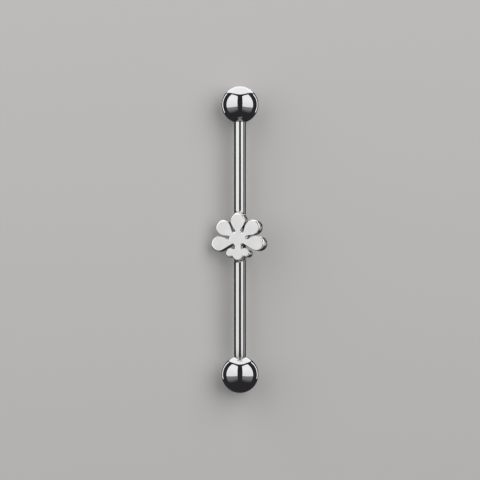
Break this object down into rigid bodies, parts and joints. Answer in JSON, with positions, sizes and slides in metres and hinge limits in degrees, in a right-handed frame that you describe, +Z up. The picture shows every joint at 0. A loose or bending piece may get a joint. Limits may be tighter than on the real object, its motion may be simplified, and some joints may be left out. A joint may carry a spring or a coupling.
{
  "type": "industrial barbell",
  "caption": "Straight steel body-jewellery bar with a fixed openwork palmette plaque at its middle and a screw-on ball at each end",
  "frame": {"origin": "on the surface it lies on, under the middle of its bounding box", "axes": "+Y runs along the bar from the bottom ball to the top ball, +Z is up, and the plaque's face leans towards -X"},
  "size_m": [0.007, 0.0418, 0.0056],
  "materials": {
    "satin_steel": "fine satin face on the plaque with polished rims, polished bar",
    "polished_steel": "mirror polish"
  },
  "bodies": {
    "bar": {"emblem_bar": "satin_steel"},
    "top_ball": {"top_ball": "polished_steel"},
    "bottom_ball": {"bottom_ball": "polished_steel"}
  },
  "joints": [
    {"name": "top_ball_off", "type": "slide", "parent": "bar", "child": "top_ball", "axis": [0, 1, 0], "range_m": [0, 0.008]},
    {"name": "bottom_ball_off", "type": "slide", "parent": "bar", "child": "bottom_ball", "axis": [0, -1, 0], "range_m": [0, 0.008]}
  ]
}
